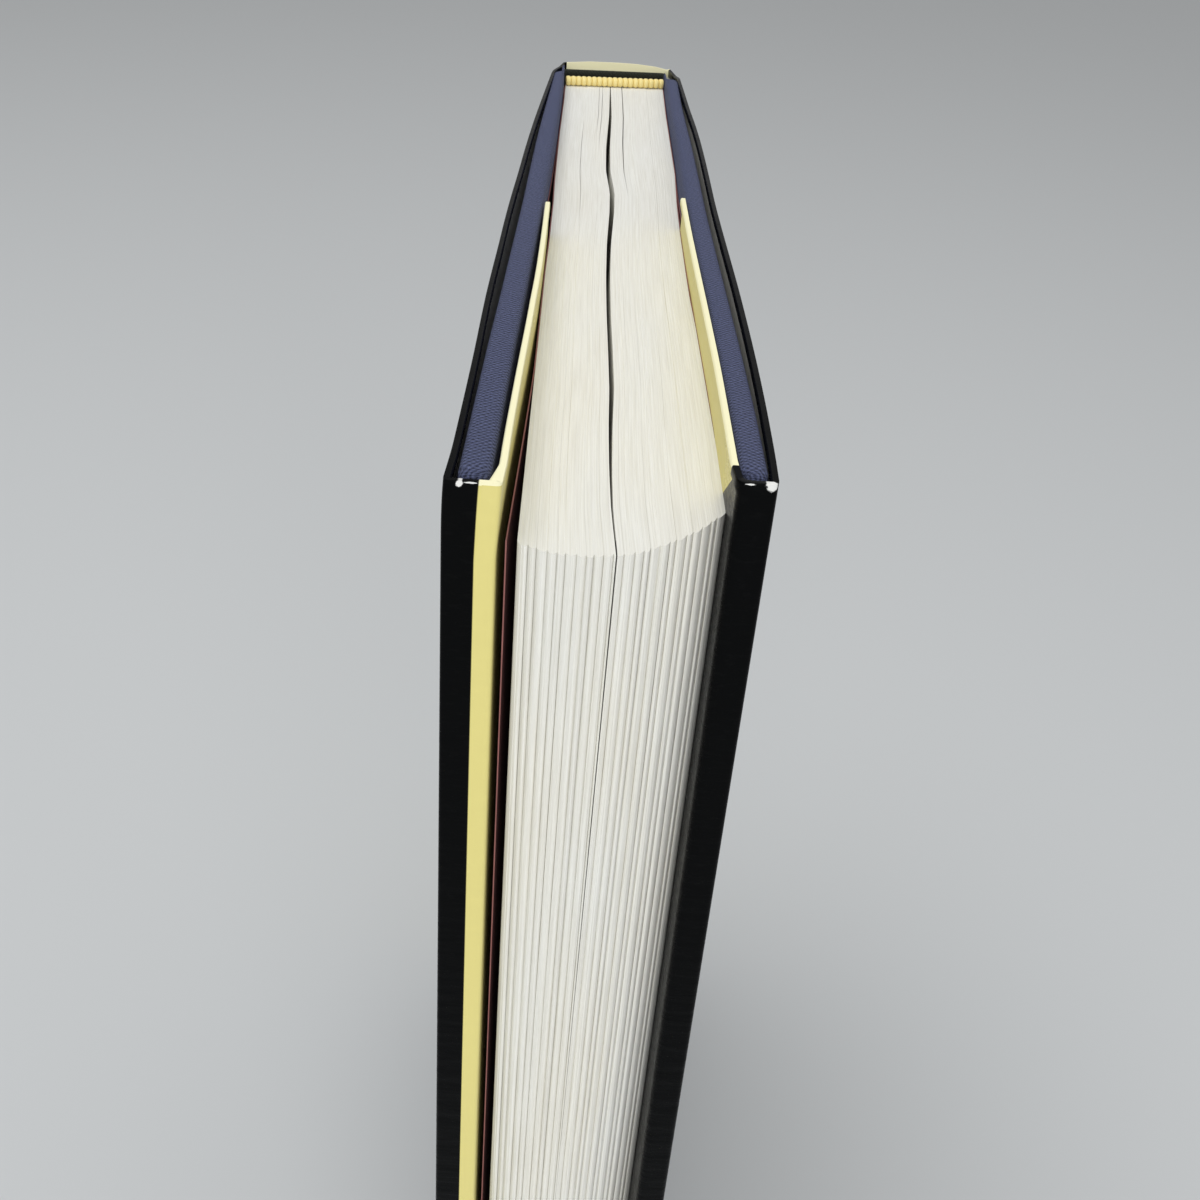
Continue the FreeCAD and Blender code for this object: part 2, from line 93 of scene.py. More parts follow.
BAND_LENGTH = 2 * HALF_TEXT * math.hypot(1, SLANT)
HINGES = {j["child"]: Vector(j["pos_m"]) / MM for j in frame["joints"]}
COVER_BODIES = {-1: "front_cover", 1: "back_cover"}
# The covers are not flat: at each distance from the hinge, how far the inner face bends towards
# the leaves, and how much thinner the board is pressed.
BEND = {
    -1: {"from_hinge": [0, 5, 11, 28, 45, 61, 78, 93, 103, 116, 127, 140, 156],
         "inwards": [0.0, 0.13, 0.28, 0.42, 0.60, 0.55, 0.64, 0.56, 0.50, 0.46, 0.35, 0.33, 0.33],
         "thinner": [0.0, 0.88, 0.80, 0.36, 0.0, 0.0, 0.0, 0.0, 0.0, 0.0, 0.0, 0.0, 0.0]},
    1: {"from_hinge": [0, 5, 10, 18, 31, 50, 66, 80, 91, 101, 110, 120, 132, 140, 150, 157],
        "inwards": [0.0, 0.06, 0.10, 0.18, 0.20, 0.20, 0.45, 0.50, 0.50, 0.46, 0.30, 0.24, 0.14,
                    0.14, 0.24, 0.26],
        "thinner": [0.0, 0.55, 0.62, 0.64, 0.70, 0.55, 0.33, 0.38, 0.32, 0.28, 0.35, 0.35, 0.33,
                    0.35, 0.36, 0.34]},
}

# Distances from the hinge at which a sheet's path along a cover has its corners.
COVER_STATIONS = (16.0, 26.0, 38.0, 50.0, 66.0, 83.0, 98.0, 112.0, 127.0, 141.0)

# The jacket's yellow print, and its paler look along the folded head and tail: partly print rubbed
# pale at the edges, partly a painted highlight on the head's edges, which face the light.
YELLOW = (0.74, 0.66, 0.24)
PALE_YELLOW = (0.95, 0.91, 0.60)
BARE_PAPER = (0.80, 0.80, 0.78)

rng = np.random.default_rng(7)


# ---------------------------------------------------------------- plan frames

def hinge(side):
    return HINGES[COVER_BODIES[side]]


def on_cover(side, out, along):
    """A plan point of a cover's frame, in the part's frame."""
    angle = SPLAY[side]
    base = hinge(side)
    bend = BEND[side]
    inwards = np.interp(-along, bend["from_hinge"], bend["inwards"])
    thinner = np.interp(-along, bend["from_hinge"], bend["thinner"])
    x = side * (out - inwards - thinner * min(max(out / BOARD_OUT, 0.0), 1.0))
    return np.array([base.x + math.cos(angle) * x - math.sin(angle) * along,
                     base.y + math.sin(angle) * x + math.cos(angle) * along])


def along_cover(side, out, end):
    """Plan points along a cover, from near its joint to a distance from the hinge."""
    return [on_cover(side, out, -y) for y in (*COVER_STATIONS, end)]


def on_spine(side, across, offset):
    """A plan point beside the case's spine: across is counted from its middle."""
    x = side * across
    return np.array([x, x * SLANT + offset])


def on_text(points):
    """Points of the text block's frame, in the part's frame: the block has sagged about its
    spine's foot."""
    turn = Matrix.Translation((0, TEXT_FOOT, TAIL_SQUARE)) @ Matrix.Rotation(SAG, 4, "X")
    matrix = np.array(turn)
    return points @ matrix[:3, :3].T + matrix[:3, 3]


def fade(value, start, reach):
    """A share that rises from 0 at start to 1 where reach has been passed."""
    return np.clip((value - start) / reach, 0, 1)


def rounded(points, radii, divisions, steps=5):
    """A polyline with its corners turned into curves.

    radii has a value for each inner corner and divisions a count for each straight run, so that
    two polylines with the same counts have points that go together.
    """
    points = [np.array(p, float) for p in points]
    starts = [points[0]]
    ends = []
    curves = []
    for k in range(1, len(points) - 1):
        before = points[k - 1] - points[k]
        after = points[k + 1] - points[k]
        reach = min(radii[k - 1], 0.45 * np.linalg.norm(before), 0.45 * np.linalg.norm(after))
        a = points[k] + before / np.linalg.norm(before) * reach
        b = points[k] + after / np.linalg.norm(after) * reach
        ends.append(a)
        starts.append(b)
        curve = []
        for t in np.linspace(0, 1, steps + 2)[1:-1]:
            curve.append((1 - t) ** 2 * a + 2 * t * (1 - t) * points[k] + t ** 2 * b)
        curves.append(curve)
    ends.append(points[-1])
    path = []
    for k, (a, b) in enumerate(zip(starts, ends)):
        path.extend(a + (b - a) * t for t in np.linspace(0, 1, divisions[k] + 1))
        if k < len(curves):
            path.extend(curves[k])
    return np.array(path)


def left_normals(path):
    """Unit normals of a plan path, to the left of its direction."""
    along = np.gradient(path, axis=0)
    along /= np.linalg.norm(along, axis=1)[:, None]
    return np.stack([-along[:, 1], along[:, 0]], axis=1)


def run_length(path):
    steps = np.linalg.norm(np.diff(path, axis=0), axis=1)
    return np.concatenate([[0.0], np.cumsum(steps)])


# ---------------------------------------------------------------- meshes

def add_object(name, data):
    item = bpy.data.objects.new(name, data)
    bpy.context.scene.collection.objects.link(item)
    return item


def add_mesh(name, verts, faces, uvs, slots, materials, sharp=0.6):
    """A mesh object from points in millimetres; uvs has a sheet coordinate for each point."""
    mesh = bpy.data.meshes.new(name)
    mesh.from_pydata((np.asarray(verts) * MM).tolist(), [], [tuple(map(int, f)) for f in faces])
    layer = mesh.uv_layers.new(name="sheet")
    index = np.zeros(len(mesh.loops), np.int32)
    mesh.loops.foreach_get("vertex_index", index)
    layer.data.foreach_set("uv", np.asarray(uvs, np.float32)[index].ravel())
    for material in materials:
        mesh.materials.append(material)
    mesh.polygons.foreach_set("material_index", np.asarray(slots, np.int32))
    bm = bmesh.new()
    bm.from_mesh(mesh)
    bmesh.ops.remove_doubles(bm, verts=bm.verts, dist=1e-7)
    bmesh.ops.recalc_face_normals(bm, faces=bm.faces)
    for face in bm.faces:
        face.smooth = True
    for edge in bm.edges:
        edge.smooth = edge.calc_face_angle(0.0) < sharp
    bm.to_mesh(mesh)
    bm.free()
    mesh.update()
    return add_object(name, mesh)


def grid_faces(index):
    """Quads of a grid of point indices."""
    return np.stack([index[:-1, :-1], index[1:, :-1], index[1:, 1:], index[:-1, 1:]],
                    axis=-1).reshape(-1, 4)


def shell(name, outer, inner, uv, slots, materials):
    """A closed sheet from two grids of points. slots holds the material numbers of the outer
    faces, of the inner faces, and of the rim for each step along the sheet."""
    rows, cols = outer.shape[:2]
    count = rows * cols
    index = np.arange(count).reshape(rows, cols)
    out_faces = grid_faces(index)
    in_faces = grid_faces(index + count)[:, ::-1]
    loop = np.concatenate([index[0, :], index[1:, -1], index[-1, -2::-1], index[-2:0:-1, 0]])
    after = np.roll(loop, -1)
    rim = np.stack([loop, after, after + count, loop + count], axis=-1)
    size = (rows - 1) * (cols - 1)
    edge = np.broadcast_to(np.asarray(slots[2]), rows - 1)
    numbers = np.concatenate([
        np.broadcast_to(np.asarray(slots[0]).reshape(-1), size),
        np.broadcast_to(np.asarray(slots[1]).reshape(-1), size),
        np.full(cols - 1, edge[0]), edge, np.full(cols - 1, edge[-1]), edge[::-1],
    ])
    verts = np.concatenate([outer.reshape(-1, 3), inner.reshape(-1, 3)])
    faces = np.concatenate([out_faces, in_faces, rim])
    uvs = np.concatenate([uv.reshape(-1, 2)] * 2)
    return add_mesh(name, verts, faces, uvs, numbers, materials)


# ---------------------------------------------------------------- materials

class Shader:
    """A material whose nodes are added one at a time and linked by name."""

    def __init__(self, name, roughness=0.5, **sockets):
        self.material = bpy.data.materials.new(name)
        self.material.use_nodes = True
        self.tree = self.material.node_tree
        self.bsdf = self.tree.nodes["Principled BSDF"]
        self.bsdf.inputs["Roughness"].default_value = roughness
        for socket, value in sockets.items():
            self.bsdf.inputs[socket.replace("_", " ")].default_value = value

    def add(self, kind, inputs=None, **settings):
        node = self.tree.nodes.new(kind)
        for name, value in settings.items():
            setattr(node, name, value)
        for socket, value in (inputs or {}).items():
            if isinstance(value, bpy.types.NodeSocket):
                self.tree.links.new(value, node.inputs[socket])
            else:
                node.inputs[socket].default_value = value
        return node

    def sheet(self):
        """Millimetres along the sheet and up it."""
        return self.add("ShaderNodeUVMap", uv_map="sheet").outputs["UV"]

    def place(self):
        """The point on the object, in millimetres."""
        point = self.add("ShaderNodeTexCoord").outputs["Object"]
        return self.scaled(point, (1 / MM, 1 / MM, 1 / MM))

    def vector(self, operation, a, b=(0.0, 0.0, 0.0), output="Vector"):
        node = self.add("ShaderNodeVectorMath", {0: a, 1: b}, operation=operation)
        return node.outputs[output]

    def scaled(self, vector, factors):
        return self.vector("MULTIPLY", vector, factors)

    def split(self, vector):
        """The vector's X, Y and Z."""
        return self.add("ShaderNodeSeparateXYZ", {"Vector": vector}).outputs

    def math(self, operation, a, b=0.0):
        return self.add("ShaderNodeMath", {0: a, 1: b}, operation=operation).outputs["Value"]

    def noise(self, vector, scale, detail=2.0, roughness=0.5):
        node = self.add("ShaderNodeTexNoise", {"Vector": vector, "Scale": scale, "Detail": detail,
                                               "Roughness": roughness})
        return node.outputs["Fac"]

    def ramp(self, factor, stops):
        node = self.add("ShaderNodeValToRGB", {"Fac": factor})
        elements = node.color_ramp.elements
        while len(elements) < len(stops):
            elements.new(1.0)
        for element, (position, color) in zip(elements, stops):
            element.position = position
            element.color = (*color, 1.0)
        return node.outputs["Color"]

    def grey(self, factor, low, high, start=0.0, end=1.0):
        """A number that runs from low to high as the factor runs from start to end."""
        node = self.add("ShaderNodeMapRange", {"Value": factor, "From Min": start, "From Max": end,
                                               "To Min": low, "To Max": high})
        return node.outputs["Result"]

    def mix(self, factor, a, b, blend="MIX"):
        a, b = (c if isinstance(c, bpy.types.NodeSocket) else (*c, 1.0) for c in (a, b))
        node = self.add("ShaderNodeMix", {0: factor, 6: a, 7: b}, data_type="RGBA",
                        blend_type=blend)
        return node.outputs[2]

    def bump(self, height, distance_mm, strength=1.0, normal=None):
        inputs = {"Height": height, "Distance": distance_mm * MM, "Strength": strength}
        if normal is not None:
            inputs["Normal"] = normal
        return self.add("ShaderNodeBump", inputs).outputs["Normal"]

    def finish(self, color=None, roughness=None, normal=None):
        for socket, value in (("Base Color", color), ("Roughness", roughness), ("Normal", normal)):
            if value is not None:
                self.tree.links.new(value, self.bsdf.inputs[socket])
        return self.material


# How far along the cloth, from the spine's middle, the painted shade over the spine starts to fade
# and has faded.
PAINTED_SPINE_SHADE_ENDS = (10.0, 12.6)
# How far below the covers' head the black's border starts and ends its slant: the black is print
# at the head, and where it reaches further below the head it is painted shade.
BORDER_SLANT = (5.4, 1.0)
# How far below the covers' head the yellow print turns paler: partly rubbed print, partly a
# painted highlight along the head's edge.
PALER_PRINT = (0.35, 0.25)


def page_edges():
    """Trimmed edges of the leaves: off-white, with faint lines along the leaves, and here and
    there a darker line between two signatures, which is painted shade in the valley between them."""
    shader = Shader("page_edges", roughness=0.85)
    sheet = shader.sheet()
    across, along, _ = shader.split(sheet)
    leaves = shader.noise(shader.scaled(sheet, (1.0, 0.012, 1.0)), 7.0, detail=3.0, roughness=0.65)
    color = shader.mix(shader.grey(leaves, 0.0, 1.0, 0.28, 0.62), (0.715, 0.705, 0.645),
                       (0.82, 0.82, 0.775))
    from_front = shader.math("ADD", across, HALF_TEXT)
    signature = shader.math("MULTIPLY", from_front, SIGNATURES / (2 * HALF_TEXT))
    from_middle = shader.math("SUBTRACT", shader.math("FRACT", signature), 0.5)
    border = shader.grey(shader.math("ABSOLUTE", from_middle), 0.0, 1.0, 0.455, 0.5)
    patches = shader.noise(shader.scaled(sheet, (1.0, 0.03, 1.0)), 0.9, detail=2.0)
    shown = shader.math("MULTIPLY", shader.grey(patches, 0.0, 1.0, 0.44, 0.62),
                        shader.grey(along, 0.25, 1.0, 40.0, 150.0))
    # Painted shade: the darker line in the valley between two signatures, in patches, stronger
    # towards the fore-edge and full on it.
    color = shader.mix(shader.math("MULTIPLY", border, shown), color, (0.46, 0.44, 0.38))
    warm = shader.noise(shader.scaled(sheet, (0.5, 0.1, 1.0)), 0.25, detail=1.0)
    yellowing = shader.ramp(warm, [(0.35, (1.0, 0.988, 0.962)), (0.65, (1.0, 1.0, 1.0))])
    color = shader.mix(1.0, color, yellowing, blend="MULTIPLY")
    fibre = shader.noise(shader.place(), 9.0, detail=4.0, roughness=0.7)
    return shader.finish(color, normal=shader.bump(fibre, 0.03, 0.6))


def woven(name, dark, light, shade, pitch):
    """Book cloth: threads that rise over one crossing and sink under the next, with slubs. Its
    colour follows the threads' height: the slubs' tone, and painted shade where the threads
    sink. Over the spine its colour is painted shade, near black, fading out before the joints."""
    shader = Shader(name, roughness=0.85, Specular_IOR_Level=0.2, Sheen_Weight=0.05)
    sheet = shader.sheet()
    wander = shader.add("ShaderNodeTexNoise", {"Vector": sheet, "Scale": 0.8, "Detail": 3.0})
    drift = shader.vector("SUBTRACT", wander.outputs["Color"], (0.5, 0.5, 0.5))
    bent = shader.vector("ADD", shader.scaled(drift, (0.5, 0.5, 0.5)), sheet)
    warp = math.pi / pitch
    weft = warp * 0.8
    warp_turn, weft_turn, _ = shader.split(shader.scaled(bent, (warp, weft, 1.0)))
    crossing = shader.math("MULTIPLY", shader.math("SINE", warp_turn),
                           shader.math("SINE", weft_turn))
    twill = shader.math("SINE", shader.math("ADD", warp_turn, weft_turn))
    weave = shader.math("ADD", crossing, shader.math("MULTIPLY", twill, 0.5))
    slub = shader.noise(sheet, 4.6, detail=4.0, roughness=0.8)
    height = shader.math("ADD", shader.math("MULTIPLY", weave, 0.45),
                         shader.math("MULTIPLY", slub, 2.2))
    color = shader.mix(shader.grey(height, 0.0, 1.0, 0.45, 1.85), dark, light)
    # Painted shade: over the spine the colour turns near black, fading out before the joints.
    from_spine = shader.split(sheet)["X"]
    color = shader.mix(shader.grey(from_spine, 1.0, 0.0, *PAINTED_SPINE_SHADE_ENDS), color, shade)
    return shader.finish(color, normal=shader.bump(height, 0.10, 1.0))


def laminated(name, color, worn, roughness, ripple, specular=0.5, bare=(), border=None):
    """Coated jacket paper: smooth film with faint ripples. bare lists the places where the film
    has worn off the paper's core: middle along the sheet, middle up it, and half of each extent.
    border is where along the sheet the yellow print begins, below the head and at the head;
    where it begins further along below the head, the black before it there is painted shade."""
    shader = Shader(name, roughness=roughness, Specular_IOR_Level=specular)
    sheet = shader.sheet()
    waves = shader.noise(shader.scaled(sheet, (0.2, 1.0, 1.0)), 0.55, detail=2.0)
    orange_peel = shader.noise(sheet, 3.0, detail=2.0)
    scuffs = shader.noise(shader.scaled(sheet, (0.4, 1.0, 1.0)), 1.6, detail=4.0, roughness=0.7)
    gloss = shader.grey(scuffs, roughness, roughness + 0.14, 0.45, 0.8)
    tone = shader.mix(shader.grey(scuffs, 0.0, worn, 0.55, 0.9), color,
                      tuple(min(1.0, c * 1.5 + 0.01) for c in color))
    if border:
        along, up, _ = shader.split(sheet)
        line = shader.grey(up, *border, *(CASE_HEIGHT - drop for drop in BORDER_SLANT))
        beyond = shader.math("SUBTRACT", along, line)
        paler = shader.grey(up, 0.0, 1.0, *(CASE_HEIGHT - drop for drop in PALER_PRINT))
        print_color = shader.mix(paler, YELLOW, PALE_YELLOW)
        tone = shader.mix(shader.grey(beyond, 0.0, 1.0, -0.04, 0.04), tone, print_color)
    ragged = shader.math("MULTIPLY", shader.noise(sheet, 2.6, detail=4.0, roughness=0.75), 1.6)
    for middle, height, half_width, half_height in bare:
        offset = shader.vector("SUBTRACT", sheet, (middle, height, 0.0))
        extents = shader.scaled(offset, (1 / half_width, 1 / half_height, 0.0))
        reach = shader.vector("LENGTH", extents, output="Value")
        spot = shader.grey(shader.math("ADD", reach, ragged), 1.0, 0.0, 1.60, 1.85)
        tone = shader.mix(spot, tone, BARE_PAPER)
    normal = shader.bump(waves, 0.2 * ripple, 0.6)
    normal = shader.bump(orange_peel, 0.01, 0.35, normal)
    return shader.finish(tone, gloss, normal)


def plain_paper(name, color, roughness=0.8, mottle=0.12):
    """Uncoated paper: fibres and a slight mottle."""
    shader = Shader(name, roughness=roughness)
    place = shader.place()
    cloud = shader.noise(place, 0.4, detail=4.0, roughness=0.6)
    fibre = shader.noise(shader.scaled(place, (1.0, 1.0, 0.35)), 9.0, detail=3.0)
    dark = tuple(c * (1 - 2 * mottle) for c in color)
    tone = shader.mix(shader.grey(cloud, 0.0, 1.0, 0.3, 0.7), dark, color)
    return shader.finish(tone, normal=shader.bump(fibre, 0.02, 0.5))


def silk_thread(bead):
    """Endband thread, wound in close slanting turns round its cord: three to a bead. It is darker
    in the hollows between the turns and between the beads, which is painted shade."""
    shader = Shader("endband_silk", roughness=0.55, Sheen_Weight=0.1)
    sheet = shader.sheet()
    across, around, _ = shader.split(sheet)
    slanting = shader.math("ADD", across, shader.math("MULTIPLY", around, 0.25))
    turns = shader.math("SINE", shader.math("MULTIPLY", slanting, 2 * math.pi / (bead / 3)))
    fuzz = shader.noise(shader.scaled(sheet, (1.0, 0.5, 1.0)), 5.0, detail=3.0)
    beads = shader.math("SINE", shader.math("MULTIPLY", across, math.pi / bead))
    on_bead = shader.grey(shader.math("ABSOLUTE", beads), 0.0, 0.62, 0.0, 0.75)
    height = shader.math("ADD", shader.math("MULTIPLY", turns, 0.35), fuzz)
    # Painted shade: the colour darkens in the hollows between the turns and between the beads.
    tone = shader.math("ADD", shader.math("MULTIPLY", height, 0.35), on_bead)
    color = shader.ramp(tone, [(0.10, (0.60, 0.40, 0.08)), (0.45, (0.80, 0.62, 0.20)),
                               (0.90, (0.90, 0.76, 0.33))])
    return shader.finish(color, normal=shader.bump(height, 0.04, 0.7))


def gauze_weave():
    """Open gauze set in glue."""
    shader = Shader("mull_gauze", roughness=0.9)
    thread = 4.2
    x, y, z = shader.split(shader.scaled(shader.place(), (thread, thread, thread)))
    rows = shader.math("SINE", z)
    columns = shader.math("SINE", shader.math("ADD", x, y))
    mesh = shader.math("MAXIMUM", rows, columns)
    color = shader.mix(shader.grey(mesh, 0.0, 1.0, -0.2, 0.8), (0.50, 0.44, 0.30),
                       (0.82, 0.80, 0.74))
    return shader.finish(color, normal=shader.bump(mesh, 0.08, 0.7))


def pressed_board(name, color):
    """Grey board: layers of pressed fibre with specks."""
    shader = Shader(name, roughness=0.9)
    place = shader.place()
    specks = shader.noise(place, 3.5, detail=5.0, roughness=0.7)
    layers = shader.noise(shader.scaled(place, (1.0, 0.06, 0.06)), 5.0, detail=2.0)
    both = shader.math("ADD", specks, shader.math("MULTIPLY", layers, 0.5))
    tone = shader.mix(shader.grey(both, 0.0, 1.0, 0.5, 1.0), tuple(c * 0.7 for c in color), color)
    return shader.finish(tone, normal=shader.bump(specks, 0.05, 0.6))


MAT = {
    "pages": page_edges(),
    # The cloth's near-black colour over the spine is painted shade.
    "cloth": woven("navy_book_cloth", dark=(0.008, 0.010, 0.028), light=(0.150, 0.176, 0.330),
                   shade=(0.020, 0.023, 0.016), pitch=0.28),
    "yellow": laminated("jacket_yellow", YELLOW, 0.10, 0.42, 0.6, 0.25),
    "yellow_edge": laminated("jacket_yellow_edge", PALE_YELLOW, 0.10, 0.5, 0.6, 0.25),
    "core": plain_paper("jacket_paper_core", (0.80, 0.79, 0.70), mottle=0.06),
    "endpaper": plain_paper("endpaper_red", (0.095, 0.012, 0.014)),
    "endpaper_edge": plain_paper("endpaper_edge", (0.33, 0.13, 0.12)),
    "silk": silk_thread(BAND_LENGTH / BAND_BEADS),
    "gauze": gauze_weave(),
    "lining": plain_paper("spine_lining_paper", (0.52, 0.40, 0.24)),
    "board": pressed_board("grey_board", (0.46, 0.44, 0.40)),
    "card": pressed_board("spine_card", (0.55, 0.50, 0.42)),
}


# ---------------------------------------------------------------- text block

LEAVES = SIGNATURES * SIGNATURE_LEAVES
# Where each signature ends, counted in leaves: some are swollen and some pressed thin.
BORDERS = SIGNATURE_LEAVES * np.arange(1, SIGNATURES) + rng.integers(-1, 2, SIGNATURES - 1)
BORDERS = np.concatenate([[0], BORDERS, [LEAVES]])
LEAF = 2 * HALF_TEXT / LEAVES
# Gaps between leaves at the head: the leaf behind each, then its depth from the spine, its place
# across and its width. Where no place is given, the gap keeps to its leaf.
SPLITS = (
    {"leaf": 81, "spread": 8.0,
     "depth": [0, 8, 20, 37, 50, 60, 68, 80, 92, 103, 113, 122, 130, 138, 145, 152],
     "place": [-0.65, -0.66, -0.70, -1.11, -1.13, -0.60, -0.68, -1.09, -1.22, -1.18, -1.02, -0.93,
               -1.07, -1.10, -1.00, -0.66],
     "width": [0.10, 0.26, 0.44, 0.60, 0.66, 0.66, 0.62, 0.54, 0.50, 0.48, 0.50, 0.48, 0.38, 0.26,
               0.18, 0.12]},
    {"leaf": 103, "spread": 1.6, "depth": [0, 12, 34, 50, 62],
     "width": [0.10, 0.13, 0.15, 0.09, 0.0]},
    {"leaf": 68, "spread": 0.8, "depth": [0, 10, 26, 40], "width": [0.03, 0.07, 0.06, 0.0]},
    {"leaf": 62, "spread": 0.8, "depth": [0, 10, 22, 32], "width": [0.03, 0.05, 0.05, 0.0]},
    {"leaf": 38, "spread": 0.8, "depth": [20, 34, 60, 74], "width": [0.0, 0.05, 0.05, 0.0]},
)
# How far the signatures stand out at the fore-edge, how deep the lines between two leaves are
# there and at the head, how deep a split is for its width, and how deep at most at the fore-edge.
SCALLOP = 0.36
FORE_GROOVE = 0.02
HEAD_GROOVE = 0.012
TRENCH_SLOPE = 60
FORE_TRENCH = 5.0
# How far each side of the block draws in, at each depth from its spine.
WAIST = {-1: ([0, 12, 30, 55, 66, 80, 92], [0.12, 0.14, 0.0, 0.0, 0.13, 0.11, 0.0]),
         1: ([0, 19, 53, 68, 80, 95, 103, 111, 121, 136, 141],
             [0.0, 0.15, 0.10, 0.46, 0.55, 0.54, 0.50, 0.30, 0.20, 0.04, 0.0])}


def fore_edge_line(x):
    """The fore-edge in plan: a curve whose crown lies left of the middle."""
    crown_x = -3.5
    crown = 1.0
    fall = 8.25 * ((x - crown_x) / (HALF_TEXT - crown_x)) ** 2
    return -HALF_TEXT * SLANT - TRIM_WIDTH - crown + fall


def side_waist(side, share):
    """How far the block's side draws in, from its spine to its fore-edge."""
    depth, drawn = WAIST[side]
    return np.interp(share * TRIM_WIDTH, depth, drawn)


def leaf_columns():
    """Columns of points across the text block: place, leaf, kind, and the number of its split."""
    columns = []
    starts = {split["leaf"]: number for number, split in enumerate(SPLITS)}
    for leaf in range(LEAVES):
        x = -HALF_TEXT + leaf * LEAF
        if leaf in starts:
            number = starts[leaf]
            columns += [(x, leaf - 1, "near lip", number), (x, leaf, "bottom", number),
                        (x, leaf, "far lip", number)]
        else:
            columns.append((x, leaf, "valley", -1))
        columns.append((x + LEAF / 2, leaf, "crest", -1))
    columns.append((HALF_TEXT, LEAVES - 1, "valley", -1))
    return columns


def open_gaps(place, kind, of_split):
    """For each split: itself, its place, which way each column moves from it, how near each column
    is to the block's side, and what share of the gap it takes."""
    gaps = []
    for number, split in enumerate(SPLITS):
        x = -HALF_TEXT + split["leaf"] * LEAF
        here = of_split == number
        sign = np.where(place < x, -1.0, 1.0)
        sign[here & (kind == "near lip")] = -1.0
        sign[here & (kind == "bottom")] = 0.0
        to_side = np.where(place < x, (place + HALF_TEXT) / (x + HALF_TEXT),
                           (HALF_TEXT - place) / (HALF_TEXT - x))
        local = np.clip(1 - np.abs(place - x) / split["spread"], 0, 1) ** 2
        gaps.append((split, x, sign, to_side, local))
    return gaps


def make_text_block():
    """The leaves as one block: scalloped signatures, uneven edges, a waist, and open splits."""
    place, leaf, kind, of_split = (np.array(values) for values in zip(*leaf_columns()))
    deep = 60
    high = 46
    depths = np.linspace(0, 1, deep + 1)
    heights = np.linspace(0, 1, high + 1)
    head_offset = rng.normal(0, 0.008, LEAVES)
    fore_offset = rng.normal(0, 0.018, LEAVES)
    signature = np.searchsorted(BORDERS, leaf, side="right") - 1
    signature_head = rng.normal(0, 0.02, SIGNATURES)
    signature_fore = rng.normal(0, 0.05, SIGNATURES)
    in_leaves = (place + HALF_TEXT) / LEAF
    phase = np.clip((in_leaves - BORDERS[signature]) / np.diff(BORDERS)[signature], 0, 1)
    scallop = SCALLOP * np.sin(np.pi * phase) ** 0.5
    even = np.interp(in_leaves, BORDERS, np.linspace(-HALF_TEXT, HALF_TEXT, SIGNATURES + 1))
    groove = np.where(kind == "valley", 1.0, 0.0)
    bottom = kind == "bottom"
    gaps = open_gaps(place, kind, of_split)
    opening_from = 0.55

    def point(i, j, k):
        """Points of the block's surface: i across, j from spine to fore-edge, k up."""
        y_share = depths[j]
        z_share = heights[k]
        depth = y_share * TRIM_WIDTH
        near_head = fade(z_share, opening_from, 1 - opening_from)
        x = place[i].copy()
        trench = np.zeros(len(i))
        for number, (split, middle, sign, to_side, local) in enumerate(gaps):
            width = np.interp(depth, split["depth"], split["width"]) * near_head
            x = x + sign[i] * width / 2 * local[i]
            if "place" in split:
                shift = np.interp(depth, split["depth"], split["place"]) - middle
                x = x + shift * near_head * to_side[i]
            trench = np.where(of_split[i] == number, width * TRENCH_SLOPE, trench)
        for side in (-1, 1):
            near_side = np.clip(side * place[i] / HALF_TEXT, 0, 1) ** 2
            x = x - side * side_waist(side, y_share) * near_side
        on_fore = j == deep
        on_head = k == high
        on_tail = k == 0
        fore = fore_edge_line(place[i]) - scallop[i]
        fore = fore + fore_offset[leaf[i]] + signature_fore[signature[i]]
        y = place[i] * SLANT * (1 - y_share) + fore * y_share
        y = y + np.where(on_fore, FORE_GROOVE * groove[i], 0.0)
        y = y + np.where(bottom[i] & on_fore, np.minimum(trench, FORE_TRENCH), 0.0)
        z = z_share * TRIM_HEIGHT
        rise = head_offset[leaf[i]] + signature_head[signature[i]] - HEAD_GROOVE * groove[i]
        z = z + np.where(on_head, rise, 0.0) - np.where(on_tail, rise, 0.0)
        z = z - np.where(bottom[i] & on_head, trench, 0.0)
        return np.stack([x, y, z], axis=-1)

    verts, faces, uvs = box_surface(len(place) - 1, deep, high, point, even)
    block = add_mesh("leaves", on_text(verts), faces, uvs, np.zeros(len(faces)), [MAT["pages"]],
                     sharp=0.9)
    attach(block, "book_block")
    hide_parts("text_block")


def box_surface(wide, deep, high, point, across):
    """The surface of a block of wide x deep x high cells, with a sheet coordinate for each point:
    millimetres across the leaves and along each leaf's edge."""
    number = -np.ones((wide + 1, deep + 1, high + 1), np.int64)
    mask = np.zeros(number.shape, bool)
    sides = [(slice(None),) * axis + (end,) for axis in range(3) for end in (0, -1)]
    for side in sides:
        mask[side] = True
    i, j, k = np.nonzero(mask)
    number[i, j, k] = np.arange(len(i))
    verts = point(i, j, k)
    faces = [grid_faces(number[side]) for side in sides]
    along = np.where(k == high, -verts[:, 1], TRIM_WIDTH + TRIM_HEIGHT - verts[:, 2])
    uvs = np.stack([across[i], along], axis=-1)
    return verts, np.concatenate(faces), uvs


# ---------------------------------------------------------------- endbands

